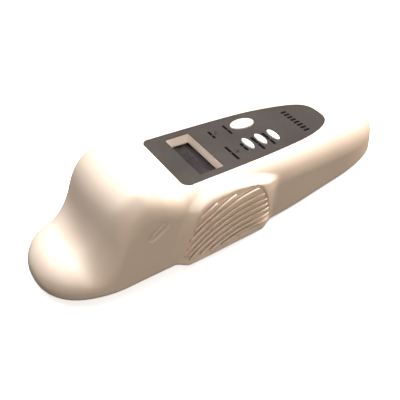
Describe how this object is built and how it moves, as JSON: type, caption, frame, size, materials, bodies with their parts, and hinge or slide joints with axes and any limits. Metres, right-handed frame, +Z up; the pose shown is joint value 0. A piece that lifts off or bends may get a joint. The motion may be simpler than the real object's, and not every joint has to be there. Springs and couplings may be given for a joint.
{
  "type": "microchip scanner",
  "caption": "Hand-held scanner with a rounded antenna nose, a raised display panel with a large oval key and three small keys, ribbed side grips and a battery door in its base.",
  "frame": {"origin": "centre of the bounding box in plan, at the flat base the scanner rests on", "axes": "+X from the antenna nose towards the tail of the handle, +Y towards the large scan key, +Z up, away from the base"},
  "size_m": [0.284, 0.0966, 0.0661],
  "materials": {
    "ivory_plastic": "fine satin texture, warm ivory",
    "graphite_label": "fine-grained dark grey film",
    "clear_window": "clear",
    "display_glass": "dark display, switched off",
    "steel": "zinc-plated or bright",
    "white_key": "satin",
    "black_plastic": "moulded",
    "natural_plastic": "unpigmented nylon",
    "board_green": "green solder mask",
    "copper_wire": "enamelled winding",
    "blue_sleeve": "shrink sleeve",
    "grey_ribbon": "flat cable",
    "dark_lamp": "dark tinted lens",
    "battery_wrap": "plain dark wrap, no print",
    "red_sleeve": "wire insulation"
  },
  "bodies": {
    "scanner": {"antenna_coil": "copper_wire", "antenna_connector": "natural_plastic", "antenna_former": "natural_plastic", "antenna_lead_1": "blue_sleeve", "antenna_lead_2": "blue_sleeve", "base_cover": "ivory_plastic", "battery": "battery_wrap", "battery_cap": "black_plastic", "battery_lamp": "dark_lamp", "battery_lead_black": "black_plastic", "battery_lead_red": "red_sleeve", "board_screw_1": "steel", "board_screw_2": "steel", "board_screw_3": "steel", "board_screw_4": "steel", "buzzer": "black_plastic", "capacitor_1": "blue_sleeve", "capacitor_2": "blue_sleeve", "crystal": "steel", "display_cell": "display_glass", "display_frame": "steel", "display_window": "clear_window", "housing_screw_1": "steel", "housing_screw_2": "steel", "housing_screw_3": "steel", "housing_screw_4": "steel", "housing_screw_5": "steel", "housing_screw_6": "steel", "lower_ribbon_socket": "natural_plastic", "main_board": "board_green", "menu_switch_1": "black_plastic", "menu_switch_2": "black_plastic", "menu_switch_3": "black_plastic", "microcontroller": "black_plastic", "panel_board": "board_green", "panel_overlay": "graphite_label", "panel_screw_1": "steel", "panel_screw_2": "steel", "panel_screw_3": "steel", "panel_screw_4": "steel", "ribbon_cable": "grey_ribbon", "scan_lamp": "dark_lamp", "scan_switch": "black_plastic", "upper_housing": "ivory_plastic", "upper_ribbon_socket": "natural_plastic", "voltage_regulator": "black_plastic"},
    "scan_key": {"scan_key": "white_key", "scan_plunger": "black_plastic"},
    "menu_key_1": {"menu_key_1": "white_key", "menu_plunger_1": "black_plastic"},
    "menu_key_2": {"menu_key_2": "white_key", "menu_plunger_2": "black_plastic"},
    "menu_key_3": {"menu_key_3": "white_key", "menu_plunger_3": "black_plastic"},
    "battery_door": {"battery_door": "ivory_plastic"}
  },
  "joints": [
    {"name": "scan_key_press", "type": "slide", "parent": "scanner", "child": "scan_key", "axis": [-0.1031, 0, -0.9947], "range_m": [0, 0.0007], "stiffness_N_per_m": 3000},
    {"name": "menu_key_1_press", "type": "slide", "parent": "scanner", "child": "menu_key_1", "axis": [-0.1031, 0, -0.9947], "range_m": [0, 0.0007], "stiffness_N_per_m": 2500},
    {"name": "menu_key_2_press", "type": "slide", "parent": "scanner", "child": "menu_key_2", "axis": [-0.1031, 0, -0.9947], "range_m": [0, 0.0007], "stiffness_N_per_m": 2500},
    {"name": "menu_key_3_press", "type": "slide", "parent": "scanner", "child": "menu_key_3", "axis": [-0.1031, 0, -0.9947], "range_m": [0, 0.0007], "stiffness_N_per_m": 2500},
    {"name": "battery_door_tip", "type": "hinge", "parent": "scanner", "child": "battery_door", "pos_m": [0.0515, 0, 0], "axis": [0, 1, 0], "range_deg": [0, 35]}
  ]
}
